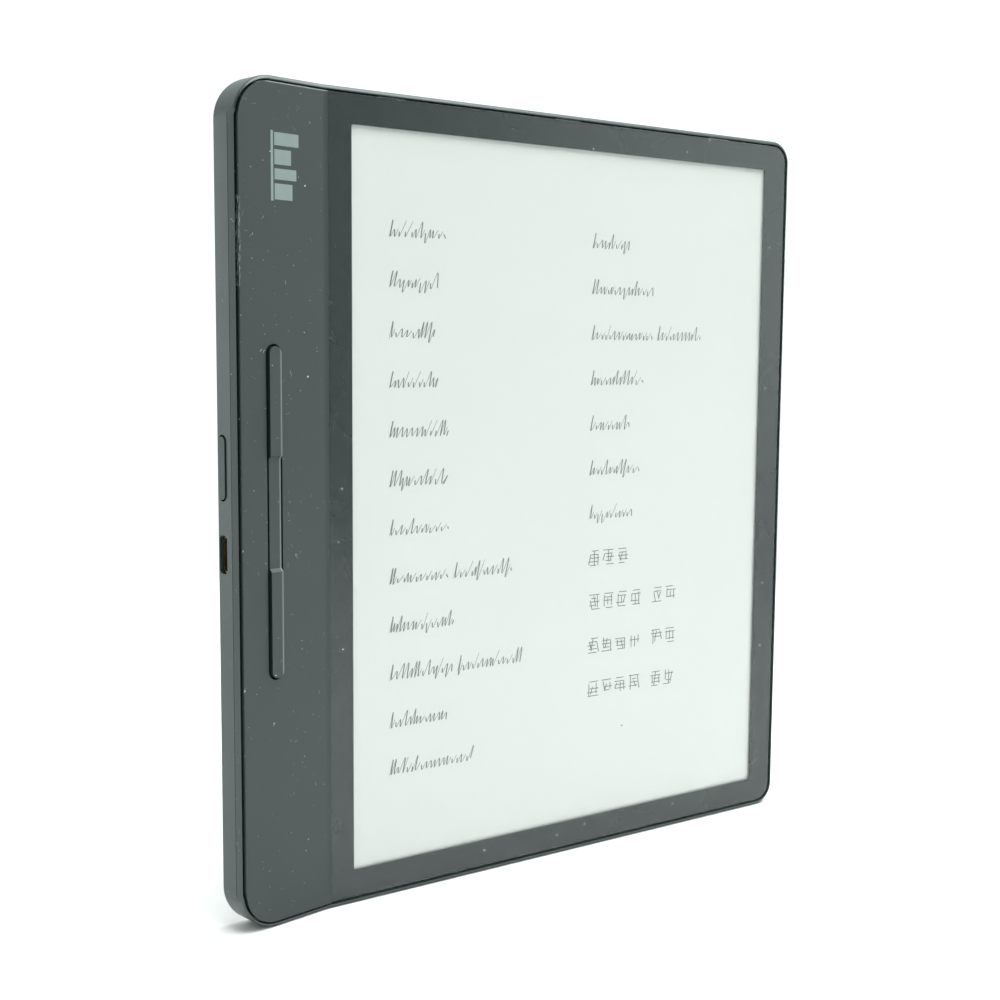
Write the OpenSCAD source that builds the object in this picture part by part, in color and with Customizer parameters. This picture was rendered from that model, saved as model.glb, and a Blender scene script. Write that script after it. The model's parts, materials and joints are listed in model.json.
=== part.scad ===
// E-reader: a thin display slab with a thicker grip along its left side.
// Millimetres. +X runs to the right of the front face, +Y from the front to the back, +Z up.
// The origin is at the bottom edge, under the middle of the body.
// Depths are measured back from the display's front plane; heights from the middle of the body.

/* [Body] */
// Overall width
body_w = 160; // [158:0.5:162]
// Overall height
body_h = 177.7; // [176:0.1:182]
// Thickness of the display side
slab_t = 4.2; // [4.2:0.05:4.5]
// Corner radius on the grip side
corner_grip = 9; // [8:0.5:10]
// Corner radius on the display side
corner_slab = 5.5; // [5:0.25:7]
// Radius of the outer edges
edge_r = 1; // [0.8:0.05:1]
// Tilt of the grip's face, in degrees
grip_tilt = 9.5; // [9:0.25:10]
// Slope of the grip's back, in degrees
back_tilt = 1.7; // [1.6:0.1:2]
// Wall of the rear cover, and width of its rim
wall = 0.9; // [0.9:0.05:1]
// Thickness of the rear cover's back
back_wall = 0.8; // [0.7:0.05:0.85]

/* [Display] */
// Width of the active area
active_w = 121.92; // [120:0.02:122]
// Height of the active area
active_h = 162.56; // [160:0.02:163]
// From the active area to the right edge of the body
bezel_right = 8.54; // [8.4:0.02:9]
// From the active area to the seam beside the grip
bezel_left = 5.84; // [5.5:0.02:6]
// Front sheet over the whole display side
sheet_t = 0.35; // [0.3:0.05:0.35]

/* [Page bar] */
// Length of the bar
bar_len = 69.2; // [66:0.2:70]
// Width of the bar
bar_w = 2.9; // [2.6:0.1:3]
// From the bend to the middle of the bar, along the grip
bar_at = 13.3; // [13:0.1:13.6]
// Height of the end pads over the middle of the bar
pad_rise = 0.7; // [0.4:0.05:0.8]
// Half length of the low stretch between the pads
low_half = 11.4; // [9:0.2:14]
// Gap around the bar
bar_gap = 0.45; // [0.35:0.05:0.5]

/* [Side wall] */
// Length of the power button
power_len = 13.1; // [11:0.1:14]
// Width of the power button
power_w = 2.3; // [2:0.1:2.3]
// Height of the power button over the middle of the body
power_z = 9.55; // [9:0.05:12]
// Length of the charging opening
port_len = 8; // [7.9:0.05:8.2]
// Width of the charging opening
port_w = 2.7; // [2.6:0.05:2.8]
// Corner radius of the charging opening
port_r = 0.9; // [0.6:0.05:1.2]
// Height of the charging opening, below the middle of the body
port_z = -8.4; // [-9:0.05:-8]

/* [Hidden] */
$fn = 48;

// A little more than the size of any piece, for cuts that go right through
far = 20;
half_h = body_h / 2;
half_w = body_w / 2;
disp_x = half_w - bezel_right - active_w / 2;
seam_x = disp_x - active_w / 2 - bezel_left;
// The grip's face and the display's front plane meet on this line
bend_x = seam_x - 0.8;
// Radius of the soft bend on the grip panel
bend_r = 9;
// The grip panel stands proud of the display's front plane
proud = 0.15;
// From the grip's side wall to the edge of the grip panel
panel_edge = 0.7;
// Gap between the front pieces and the rim
rim_gap = 0.45;
// The side wall's thin front lip beside the grip panel
lip = panel_edge - rim_gap;

tilt_s = sin(grip_tilt);
tilt_c = cos(grip_tilt);
// Width of the grip along its back, and along its face, up to the side wall
back_w = (half_w + bend_x - edge_r * sin(back_tilt)) / cos(back_tilt);
grip_w = back_w * cos(back_tilt + grip_tilt) + edge_r * sin(back_tilt + grip_tilt) - slab_t * tilt_s;
// The grip's edge reaches this far in front of the display's front plane, and this far behind it
front_reach = (grip_w - panel_edge) * tilt_s + proud * tilt_c;
back_reach = slab_t + (back_w - edge_r) * sin(back_tilt);
front_y = (front_reach - back_reach) / 2;

// Clear adhesive between two layers of the display
bond = 0.02;
// Depths of the layers behind the display's front plane
mask_t = 0.03;
touch_t = 0.15;
guide_t = 0.31;
paper_t = 0.4;
backing_t = 0.2;
mask_d = sheet_t + bond;
touch_d = mask_d + mask_t;
guide_d = touch_d + touch_t + bond;
paper_d = guide_d + guide_t + bond;
backing_d = paper_d + paper_t;
shelf_d = backing_d + backing_t;
plate_t = 0.6;
plate_d = shelf_d + plate_t;
tape_t = 0.1;
cover_in = slab_t - back_wall;

// Main board, behind the mid frame in the grip
board_d = 2.75;
board_t = 0.6;
board_left = -half_w + 1.6;
board_right = bend_x - 2.7;
board_low = -76;
board_high = 72;
board_back = board_d + board_t;

// Page bar mechanism, depths under the grip's face
flange_v = 1.8;
flange_t = 0.4;
flange_out = 0.8;
pin_v = 2.6;
pin_r = 0.4;
plunger_z = 26;
plunger_end = 2.95;
seal_v = 3.3;
seal_t = 0.2;
switch_board_v = 4.1;
switch_board_t = 0.3;

// Side wall: depth of the power button under the grip's face, and of the port
power_v = 6;
port_d = power_v * tilt_c - grip_w * tilt_s;
port_x = -half_w + 0.8;

// Battery bay, centred behind the display
cell_x0 = disp_x - 44;
cell_x1 = disp_x + 42;
cell_z0 = -46;
cell_z1 = 38;
cell_d = shelf_d + 0.1;
cell_t = 1.7;

// ---------- Frames and shared shapes ----------

// Frame of the display side: x as in the body, y is depth, z from the middle
module slab_frame()
    translate([0, front_y, half_h])
        children();

// Frame of the grip: x runs from the bend (negative to the left), y is depth under its face
module grip_frame()
    translate([bend_x, front_y, half_h])
        rotate([0, 0, grip_tilt])
            children();

// A point of the grip frame in the display side's frame
function grip_point(x, v) = [bend_x + x * tilt_c - v * tilt_s, x * tilt_s + v * tilt_c];

// A box between two corners
module block(x0, x1, y0, y1, z0, z1)
    translate([x0, y0, z0])
        cube([x1 - x0, y1 - y0, z1 - z0]);

// An (x, z) outline made into a sheet that starts at depth y
module sheet(y, t)
    translate([0, y + t, 0])
        rotate([90, 0, 0])
            linear_extrude(t)
                children();

// An (x, depth) outline extruded over a height about the middle
module upright(h)
    translate([0, 0, -h / 2])
        linear_extrude(h)
            children();

// A rectangle with one corner radius on the left and another on the right
module outline(x0, x1, z0, z1, r_left, r_right) {
    translate([x0 + r_left, z0])
        square([x1 - x0 - r_left - r_right, z1 - z0]);
    if (r_left > 0) {
        translate([x0, z0 + r_left])
            square([r_left, z1 - z0 - 2 * r_left]);
        for (z = [z0 + r_left, z1 - r_left])
            translate([x0 + r_left, z])
                circle(r_left);
    }
    if (r_right > 0) {
        translate([x1 - r_right, z0 + r_right])
            square([r_right, z1 - z0 - 2 * r_right]);
        for (z = [z0 + r_right, z1 - r_right])
            translate([x1 - r_right, z])
                circle(r_right);
    }
}

// A bar with round ends that runs along x
module slot_x(x0, x1, y, z, length, width) {
    reach = (length - width) / 2;
    block(x0, x1, y - width / 2, y + width / 2, z - reach, z + reach);
    for (side = [-1, 1])
        rod_x(x0, x1, y, z + side * reach, width / 2);
}

// A (height, depth) outline extruded along x
module along_x(x0, x1, y, z)
    translate([x1, y, z])
        rotate([0, -90, 0])
            linear_extrude(x1 - x0)
                children();

// A round rod along x
module rod_x(x0, x1, y, z, r)
    translate([x0, y, z])
        rotate([0, 90, 0])
            cylinder(h = x1 - x0, r = r);

// A round rod along the depth
module rod_y(x, y0, y1, z, r)
    translate([x, y1, z])
        rotate([90, 0, 0])
            cylinder(h = y1 - y0, r = r);

// The whole body's outline, set in from its edges, through all depths
module footprint(inset, inset_left) {
    high = half_h - inset;
    slab_frame()
        sheet(-far / 2, far)
            outline(bend_x, half_w - inset, -high, high, 0, corner_slab - inset);
    grip_frame()
        sheet(-far / 2, far)
            outline(inset_left - grip_w, 1, -high, high, corner_grip - inset, 0);
}

// A layer that follows the front of the body, between two depths
module bent_layer(d0, d1)
    slab_frame()
        upright(body_h)
            polygon([
                [half_w, d0], [bend_x, d0], grip_point(-grip_w - 1, d0),
                grip_point(-grip_w - 1, d1), [bend_x, d1], [half_w, d1]
            ]);

// Half a ribbon's thickness, square to its path of (x, depth) points at one of them
function ribbon_side(path, i) = let(u = path[min(i + 1, len(path) - 1)] - path[max(i - 1, 0)])
    [-u.y, u.x] / norm(u) * ribbon_t / 2;

// A flexible ribbon along a path
module ribbon(path, z0, z1)
    translate([0, 0, z0])
        linear_extrude(z1 - z0)
            polygon(concat(
                [for (i = [0:len(path) - 1]) path[i] - ribbon_side(path, i)],
                [for (i = [len(path) - 1:-1:0]) path[i] + ribbon_side(path, i)]));

// A screw along the depth, head at the back
module screw(x, head_y, z, head_r, head_t, shank_r, shank_len) {
    rod_y(x, head_y, head_y + head_t, z, head_r);
    rod_y(x, head_y - shank_len, head_y + 0.01, z, shank_r);
}

// ---------- Housing ----------

// Half profile of a disc of radius r with a rounded upper edge
function disc_profile(r) = concat(
    [[0, -edge_r]],
    [for (a = [0:15:90]) [r - edge_r + edge_r * cos(a), edge_r * sin(a) - edge_r]],
    [[0, 0]]);

// Two such discs, one at each end of a side wall, with their flat faces outward
module corner_discs(x, r, turn)
    for (end = [-1, 1])
        translate([x, 0, end * (half_h - r)])
            rotate([turn, 0, 0])
                rotate_extrude($fn = 64)
                    polygon(disc_profile(r));

// Section of the body at the bend, with the same rounded edges
module bend_section(x0, x1)
    for (d = [edge_r, slab_t - edge_r], end = [-1, 1])
        translate([x0, d, end * (half_h - edge_r)])
            rotate([0, 90, 0])
                cylinder(h = x1 - x0, r = edge_r, $fn = 24);

module outer_body()
    slab_frame() {
        hull() {
            bend_section(bend_x, bend_x + 0.01);
            corner_discs(half_w - corner_slab, corner_slab, 90);
            translate([0, slab_t, 0])
                corner_discs(half_w - corner_slab, corner_slab, -90);
        }
        hull() {
            bend_section(bend_x - 0.01, bend_x);
            translate([bend_x, 0, 0])
                rotate([0, 0, grip_tilt])
                    corner_discs(corner_grip - grip_w, corner_grip, 90);
            translate([bend_x, slab_t, 0])
                rotate([0, 0, -back_tilt])
                    corner_discs(corner_grip - back_w, corner_grip, -90);
        }
    }

// The space inside the rear cover, down to its back
module tray(inset, front_d, floor_rise)
    intersection() {
        slab_frame()
            upright(body_h)
                polygon([
                    [half_w, front_d], [half_w, cover_in - floor_rise],
                    [bend_x - back_wall * tan(back_tilt / 2), cover_in - floor_rise],
                    [bend_x - 2 * far, cover_in + 2 * far * tan(back_tilt) - floor_rise],
                    grip_point(-grip_w - 1, front_d), [bend_x, front_d]
                ]);
        footprint(inset, inset);
    }

// Flat bevel and crease along the grip's side wall
bevel_v = 2.8;
bevel_in = 0.35;
crease = 0.12;
module side_bevel()
    grip_frame() {
        upright(body_h)
            polygon([
                [-grip_w, bevel_v], [-grip_w + bevel_in * (bevel_v + 1) / bevel_v, -1],
                [-grip_w - 1, -1], [-grip_w - 1, bevel_v]
            ]);
        block(-grip_w - 1, -grip_w + crease, bevel_v - crease / 2, bevel_v + crease / 2,
            -half_h, half_h);
    }

// Places of the snap hooks: along the top and bottom, and up the right side
hook_x = [-40, 8, 56];
hook_z = [-56, 0, 56];
hook_len = 7;
module snap_hooks(grow, reach) {
    edge = half_h - wall;
    side = half_w - wall;
    for (x = hook_x, end = [-1, 1])
        slab_frame()
            block(x - hook_len / 2 - grow, x + hook_len / 2 + grow,
                shelf_d + 0.1 - grow, plate_d - 0.1 + grow,
                end > 0 ? edge - 0.6 : -edge - reach, end > 0 ? edge + reach : -edge + 0.6);
    for (z = hook_z)
        slab_frame()
            block(side - 0.6, side + reach, shelf_d + 0.1 - grow, plate_d - 0.1 + grow,
                z - hook_len / 2 - grow, z + hook_len / 2 + grow);
}

ledge = 1;
ledge_d = plate_d + tape_t;
module rear_cover()
    color([0.36, 0.40, 0.39])
        difference() {
            outer_body();
            side_bevel();
            // Front opening down to the ledge that carries the mid frame
            intersection() {
                tray(wall, -far / 4, 0);
                bent_layer(-far / 4, ledge_d);
            }
            tray(wall + ledge, ledge_d - 1, 0);
            // No ledge along the grip's side wall
            intersection() {
                tray(wall, 1, 0);
                grip_frame()
                    block(-grip_w, -grip_w + far / 2, 0, far, -half_h + 12, half_h - 12);
            }
            // Rebate for the grip panel
            grip_frame()
                sheet(-far / 4, far / 4 + shelf_d)
                    outline(lip - grip_w, -1, wall - half_h, half_h - wall, corner_grip - wall, 0);
            snap_hooks(0.15, 0.4);
            grip_frame()
                slot_x(-grip_w - 1, -grip_w + wall + 0.5, power_v, power_z,
                    power_len + 0.7, power_w + 0.7);
            slab_frame()
                along_x(-half_w - 1, -half_w + 3, port_d, port_z)
                    polygon([for (a = [7.5:15:352.5])
                        [sign(cos(a)) * (port_len / 2 - port_r) + port_r * cos(a),
                            sign(sin(a)) * (port_w / 2 - port_r) + port_r * sin(a)]]);
        }

// Window under the page bar
window_x0 = -bar_at - bar_w / 2 - 1.75;
window_x1 = -bar_at + bar_w / 2 + 1.75;
window_z = bar_len / 2 + 3.4;
// Posts that carry the main board, as (x, z)
post_x = -72;
post_z = [-48.5, 47.5, 68];
switch_post_z = bar_len / 2 + 7.4;
module mid_frame()
    color([0.62, 0.64, 0.66])
        difference() {
            union() {
                intersection() {
                    bent_layer(shelf_d, plate_d);
                    footprint(wall + 0.15, wall + 0.15);
                }
                snap_hooks(0, 0.25);
                // Ribs around the battery bay
                slab_frame()
                    difference() {
                        block(cell_x0 - 1.5, cell_x1 + 1.5, plate_d - 0.1, cover_in - 0.2,
                            cell_z0 - 1.5, cell_z1 + 1.5);
                        block(cell_x0 - 0.5, cell_x1 + 0.5, 0, far, cell_z0 - 0.5, cell_z1 + 0.5);
                        block(cell_x0 - 2, cell_x0 + 2, plate_d, far, cell_z1 - 16, cell_z1 - 2);
                    }
                for (z = post_z)
                    slab_frame()
                        rod_y(post_x, board_d - 2.9, board_d, z, 1.5);
                for (side = [-1, 1])
                    grip_frame()
                        rod_y(-bar_at, plate_d - 0.3, switch_board_v, side * switch_post_z, 1.3);
            }
            slab_frame()
                block(cell_x0 - 0.5, cell_x1 + 0.5, 0, plate_d + 0.1, cell_z0 - 0.5, cell_z1 + 0.5);
            grip_frame()
                block(window_x0, window_x1, 0, plate_d + 0.1, -window_z, window_z);
            for (z = post_z)
                slab_frame()
                    rod_y(post_x, board_d - 2, far, z, 0.62);
            for (side = [-1, 1])
                grip_frame()
                    rod_y(-bar_at, switch_board_v - 1.6, far, side * switch_post_z, 0.62);
            for (side = [-1, 1])
                grip_frame()
                    rod_y(-bar_at + side * bracket_foot, shelf_d - 1, far, 0, 0.52);
            // Slots that the three ribbons pass through
            slab_frame()
                for (z = [display_z, touch_z, light_z])
                    block(ribbon_x - 0.6, ribbon_x + 1.4, 0, plate_d + 0.1,
                        z - ribbon_half(z) - 0.5, z + ribbon_half(z) + 0.5);
        }

module frame_tape()
    color([0.12, 0.12, 0.13])
        difference() {
            intersection() {
                bent_layer(plate_d, ledge_d);
                footprint(wall + 0.2, wall + 0.2);
            }
            footprint(wall + ledge - 0.1, wall + ledge - 0.1);
            grip_frame()
                block(-grip_w, -grip_w + far / 2, 0, far / 2, -half_h + 12, half_h - 12);
        }

// Soft bend of the grip panel's face, from the seam round to the grip's plane
function bend_arc(d) = [for (i = [0:6]) let(a = i * grip_tilt / 6, r = bend_r + d)
    [bend_x + bend_r * tan(grip_tilt / 2) - r * sin(a), r * cos(a) - bend_r]];

panel_t = 1.4;
module grip_panel()
    color([0.35, 0.39, 0.38])
        difference() {
            intersection() {
                slab_frame()
                    upright(body_h)
                        polygon(concat(
                            [[seam_x - 0.04, panel_t], [seam_x - 0.04, -proud]],
                            bend_arc(-proud),
                            [grip_point(-grip_w - 1, -proud), grip_point(-grip_w - 1, panel_t),
                                [bend_x, panel_t]]));
                union() {
                    grip_frame()
                        sheet(-far / 4, far / 2)
                            outline(panel_edge - grip_w, -1, wall + rim_gap - half_h,
                                half_h - wall - rim_gap, corner_grip - wall - rim_gap, 0);
                    slab_frame()
                        block(bend_x - 2, seam_x, -far / 4, far / 4,
                            wall + rim_gap - half_h, half_h - wall - rim_gap);
                }
            }
            grip_frame()
                sheet(-far / 4, far / 2)
                    bar_outline(bar_gap);
        }

module grip_tape()
    color([0.15, 0.15, 0.16])
        difference() {
            intersection() {
                bent_layer(panel_t, shelf_d);
                grip_frame()
                    sheet(-far / 4, far / 2)
                        outline(1.6 - grip_w, -1.5, 2 - half_h, half_h - 2, corner_grip - 2, 0);
            }
            grip_frame()
                block(window_x0 + 0.1, window_x1 - 0.1, 0, far, -window_z, window_z);
        }

// ---------- Page bar and its mechanism ----------

// Outline of the bar with round ends, grown on every side
module bar_outline(grow) {
    r = bar_w / 2 + grow;
    reach = bar_len / 2 - bar_w / 2;
    translate([-bar_at - r, -reach])
        square([2 * r, 2 * reach]);
    for (side = [-1, 1])
        translate([-bar_at, side * reach])
            circle(r);
}

lug_half = 0.9;
module page_bar()
    color([0.34, 0.38, 0.37])
        grip_frame()
            difference() {
                union() {
                    intersection() {
                        sheet(-2, 2 + flange_v)
                            bar_outline(0);
                        translate([bar_w - bar_at, 0, 0])
                            rotate([0, -90, 0])
                                linear_extrude(2 * bar_w)
                                    bar_side();
                    }
                    sheet(flange_v, flange_t)
                        bar_outline(flange_out);
                    block(-bar_at - lug_half, -bar_at + lug_half, flange_v, 3, -1.1, 1.1);
                    for (side = [-1, 1])
                        rod_y(-bar_at, flange_v, plunger_end, side * plunger_z, 0.9);
                }
                rod_x(-bar_at - 2, -bar_at + 2, pin_v, 0, pin_r + 0.05);
            }

// The bar seen from its side, as (height, depth): a low middle between two raised pads
module bar_side() {
    long = bar_len / 2 + 1;
    ramp = 0.7;
    polygon([
        [-long, -proud - pad_rise], [-low_half - ramp, -proud - pad_rise],
        [-low_half, -proud], [low_half, -proud],
        [low_half + ramp, -proud - pad_rise], [long, -proud - pad_rise],
        [long, flange_v], [-long, flange_v]
    ]);
}

module page_bar_pin()
    color([0.75, 0.76, 0.78])
        grip_frame()
            rod_x(-bar_at - 2.1, -bar_at + 2.1, pin_v, 0, pin_r);

bracket_foot = 4.15;
bracket_base = 3.02;
bracket_t = 0.22;
module page_bar_bracket()
    color([0.7, 0.71, 0.73])
        grip_frame()
            difference() {
                union() {
                    block(-bar_at - 3.4, -bar_at + 3.4, bracket_base, bracket_base + bracket_t, -2, 2);
                    for (side = [-1, 1]) {
                        translate([-bar_at + side * 1.55, 0, 0])
                            block(-0.35, 0.35, flange_v + flange_t + 0.05, bracket_base + 0.1, -1, 1);
                        translate([-bar_at + side * 3.3, 0, 0])
                            block(-0.12, 0.12, plate_d, bracket_base + bracket_t, -2, 2);
                        translate([-bar_at + side * bracket_foot, 0, 0])
                            block(-0.75, 0.75, plate_d, plate_d + bracket_t, -2, 2);
                    }
                }
                rod_x(-bar_at - 2, -bar_at + 2, pin_v, 0, pin_r + 0.01);
                for (side = [-1, 1])
                    rod_y(-bar_at + side * bracket_foot, 0, far, 0, 0.52);
            }

module bracket_screws()
    color([0.8, 0.8, 0.82])
        grip_frame()
            for (side = [-1, 1])
                screw(-bar_at + side * bracket_foot, plate_d + bracket_t, 0, 0.7, 0.3, 0.5, 0.8);

// Shallow tub that closes the window from behind
tub_x0 = window_x0 - 2.4;
tub_x1 = window_x1 + 2.4;
tub_z = window_z + 1.4;
module page_bar_seal()
    color([0.2, 0.21, 0.22])
        grip_frame()
            difference() {
                block(tub_x0, tub_x1, plate_d, seal_v + seal_t, -tub_z, tub_z);
                block(tub_x0 + 0.5, tub_x1 - 0.5, 0, seal_v, 0.5 - tub_z, tub_z - 0.5);
            }

module page_switch(z)
    grip_frame() {
        block(-bar_at - 1.5, -bar_at + 1.5, seal_v + seal_t + 0.15, switch_board_v, z - 1.75, z + 1.75);
        rod_y(-bar_at, seal_v + seal_t + 0.05, switch_board_v - 0.2, z, 0.75);
    }

module page_switch_upper()
    color([0.8, 0.8, 0.78])
        page_switch(plunger_z);

module page_switch_lower()
    color([0.8, 0.8, 0.78])
        page_switch(-plunger_z);

module page_switch_board()
    color([0.1, 0.3, 0.2])
        grip_frame()
            difference() {
                block(-bar_at - 2.3, -bar_at + 2.6, switch_board_v, switch_board_v + switch_board_t,
                    -switch_post_z - 2, switch_post_z + 2);
                for (side = [-1, 1])
                    rod_y(-bar_at, 0, far, side * switch_post_z, 0.7);
            }

module switch_board_screws()
    color([0.8, 0.8, 0.82])
        grip_frame()
            for (side = [-1, 1])
                screw(-bar_at, switch_board_v + switch_board_t, side * switch_post_z,
                    1.1, 0.3, 0.6, 1.5);

// ---------- Power button ----------

power_nub_x = -18.8;
module power_button()
    color([0.34, 0.38, 0.37])
        grip_frame() {
            slot_x(-grip_w - 0.25, -grip_w + wall + 0.4, power_v, power_z, power_len, power_w);
            block(-grip_w + wall + 0.05, -grip_w + wall + 0.5, power_v - 0.9, power_v + 0.9,
                power_z - power_len / 2 - 1.3, power_z + power_len / 2 + 1.3);
            block(-grip_w + wall + 0.3, power_nub_x, 4.95, 5.65, power_z - 1, power_z + 1);
        }

power_seal_x = -half_w + 3.85;
module power_button_seal()
    color([0.2, 0.21, 0.22])
        slab_frame()
            block(power_seal_x, power_seal_x + 0.2, 1.3, 2.72, power_z - 3, power_z + 3);

module power_switch()
    color([0.8, 0.8, 0.78])
        slab_frame() {
            block(power_seal_x + 0.8, power_seal_x + 2.4, 1.35, board_d, power_z - 2.3, power_z + 2.3);
            block(power_seal_x + 0.22, power_seal_x + 0.9, 1.65, 2.4, power_z - 0.8, power_z + 0.8);
        }

// ---------- Display stack ----------

sheet_x0 = seam_x + 0.04;
sheet_x1 = half_w - wall - rim_gap;
sheet_z = half_h - wall - rim_gap;
sheet_r = corner_slab - wall - rim_gap;
module front_sheet()
    color([0.85, 0.88, 0.87])
        slab_frame()
            sheet(0, sheet_t)
                outline(sheet_x0, sheet_x1, -sheet_z, sheet_z, 0.3, sheet_r);

module bezel_mask()
    color([0.33, 0.37, 0.36])
        slab_frame()
            difference() {
                sheet(mask_d, mask_t)
                    outline(sheet_x0, sheet_x1, -sheet_z, sheet_z, 0.3, sheet_r);
                sheet(mask_d - 1, 2)
                    outline(disp_x - active_w / 2, disp_x + active_w / 2,
                        -active_h / 2, active_h / 2, 0.5, 0.5);
            }

module touch_sensor()
    color([0.8, 0.85, 0.85])
        slab_frame()
            block(disp_x - 63.8, disp_x + 64.5, touch_d, touch_d + touch_t, -85.3, 85.3);

guide_low = -84;
module light_guide()
    color([0.9, 0.93, 0.93])
        slab_frame()
            block(disp_x - 62.6, disp_x + 63, guide_d, guide_d + guide_t, guide_low, 84);

led_pitch = 13;
module frontlight_leds()
    color([0.95, 0.93, 0.8])
        slab_frame()
            for (i = [-4:4])
                block(disp_x + i * led_pitch - 1.5, disp_x + i * led_pitch + 1.5,
                    guide_d, guide_d + guide_t, guide_low - 1.1, guide_low - 0.1);

module frontlight_strip()
    color([0.75, 0.5, 0.2])
        slab_frame()
            block(disp_x - 60, disp_x + 58, paper_d, paper_d + 0.1, guide_low - 2, guide_low - 0.05);

paper_x0 = disp_x - 63;
paper_low = guide_low + 0.4;
module epaper_panel()
    color([0.86, 0.89, 0.87])
        slab_frame()
            block(paper_x0, disp_x + 63, paper_d, paper_d + paper_t, paper_low, 83.6);

module display_backing()
    color([0.7, 0.71, 0.73])
        slab_frame()
            block(paper_x0, disp_x + 63, backing_d, shelf_d, paper_low, 83.6);

// Ribbons leave the stack between the active area and the seam, and reach the main board
ribbon_x = paper_x0 - 1.9;
ribbon_t = 0.12;
display_z = 8;
touch_z = 44;
light_z = -40;
display_half = 15;
small_half = 4;
function ribbon_half(z) = z == display_z ? display_half : small_half;
socket_x = board_right - 2.6;
// Depth at which the ribbons run behind the mid frame
run_d = 2.35;
function ribbon_path(x, d) = [
    [x, d], [ribbon_x + 0.8, d], [ribbon_x + 0.2, d + 0.25], [ribbon_x, d + 0.8],
    [ribbon_x - 0.05, run_d - 0.3], [ribbon_x - 0.4, run_d], [socket_x, run_d]
];

module display_ribbon()
    color([0.75, 0.5, 0.2])
        slab_frame()
            ribbon(ribbon_path(paper_x0, paper_d + 0.25),
                display_z - display_half, display_z + display_half);

module touch_ribbon()
    color([0.75, 0.5, 0.2])
        slab_frame()
            ribbon(ribbon_path(disp_x - 63.8, touch_d + ribbon_t / 2 + 0.01),
                touch_z - small_half, touch_z + small_half);

module frontlight_ribbon()
    color([0.75, 0.5, 0.2])
        slab_frame()
            ribbon(ribbon_path(paper_x0, paper_d + 0.12),
                light_z - small_half, light_z + small_half);

// Driver chip on the display's ribbon
module display_driver()
    color([0.1, 0.1, 0.11])
        slab_frame()
            block(board_right + 0.4, board_right + 1.8, run_d + ribbon_t / 2, run_d + 0.5,
                display_z - 12, display_z + 12);

module ribbon_connectors()
    color([0.85, 0.83, 0.75])
        slab_frame()
            for (z = [display_z, touch_z, light_z])
                block(socket_x - 2, socket_x, 1.95, board_d,
                    z - ribbon_half(z) - 0.6, z + ribbon_half(z) + 0.6);

// ---------- Main board ----------

notch = 3.4;
module main_board()
    color([0.1, 0.3, 0.2])
        slab_frame()
            difference() {
                block(board_left, board_right, board_d, board_back, board_low, board_high);
                // Room for the power button
                block(board_left - 1, board_left + notch, 0, far,
                    power_z - power_len / 2 - 2, power_z + power_len / 2 + 2);
                // Cut-out that the port sits in
                block(board_left - 1, port_x + 5.3, 0, far, port_z - 4.1, port_z + 4.1);
                for (z = post_z)
                    rod_y(post_x, 0, far, z, 0.75);
            }

module board_screws()
    color([0.8, 0.8, 0.82])
        slab_frame()
            for (z = post_z)
                screw(post_x, board_back, z, 1.2, 0.22, 0.6, 1.8);

// A chip on the board's front face
module chip(x0, x1, z0, z1, t)
    slab_frame()
        block(x0, x1, board_d - t, board_d, z0, z1);

chip_x = board_left + 1.2;
can_t = 0.15;
module processor()
    color([0.08, 0.08, 0.09])
        chip(chip_x, chip_x + 9, -62.5, -53.5, 0.8);

module memory_chip()
    color([0.08, 0.08, 0.09])
        chip(chip_x, chip_x + 8, -73, -64.5, 0.75);

// Stamped lid over the processor and its memory
module shield_can()
    color([0.78, 0.78, 0.76])
        difference() {
            chip(chip_x - 0.8, chip_x + 9.8, -73.8, -52.7, 1.15);
            chip(chip_x - 0.8 + can_t, chip_x + 9.8 - can_t, -73.8 + can_t, -52.7 - can_t, 1.15 - can_t);
        }

module storage_chip()
    color([0.08, 0.08, 0.09])
        chip(chip_x, chip_x + 9, 52, 62, 0.8);

module power_chip()
    color([0.08, 0.08, 0.09])
        chip(chip_x, chip_x + 3.2, 21, 25, 0.6);

module wireless_chip()
    color([0.08, 0.08, 0.09])
        chip(chip_x + 10.5, chip_x + 14.5, 54, 60, 0.7);

// Rows of capacitors and resistors
module small_components()
    color([0.6, 0.5, 0.35])
        for (i = [0:6]) {
            chip(chip_x + 12, chip_x + 12.8, -72 + i * 1.5, -71.2 + i * 1.5, 0.35);
            chip(chip_x + 10.6, chip_x + 11.2, -60 + i * 1.5, -59 + i * 1.5, 0.35);
            chip(chip_x + i * 1.5, chip_x + 0.8 + i * 1.5, 64, 64.5, 0.35);
        }

module sleep_sensor()
    color([0.08, 0.08, 0.09])
        chip(chip_x + 12, chip_x + 14, -54, -52.4, 0.5);

// ---------- Charging port ----------

shell_h = 2.45;
shell_len = 7.5;
shell_wall = 0.25;
// Section of the port as (height, depth), with two sloped corners and two small ones
module port_section(inset) {
    top = shell_h / 2 - inset;
    side = shell_len / 2 - inset;
    polygon([
        [-side, 0.35 - top], [0.35 - side, -top], [side - 0.35, -top], [side, 0.35 - top],
        [side, top - 0.9], [side - 0.8, top], [-side + 0.8, top], [-side, top - 0.9]
    ]);
}

// The port's section extruded along x
module port_run(x0, x1, inset)
    slab_frame()
        along_x(x0, x1, port_d, port_z)
            port_section(inset);

module usb_shell()
    color([0.75, 0.76, 0.78])
        difference() {
            port_run(port_x, port_x + 5, 0);
            port_run(port_x - 1, port_x + 4.7, shell_wall);
        }

module usb_tongue()
    color([0.1, 0.1, 0.11])
        slab_frame()
            block(port_x + 0.9, port_x + 4.7, port_d - 0.55, port_d + 0.05, port_z - 1.85, port_z + 1.85);

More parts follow.
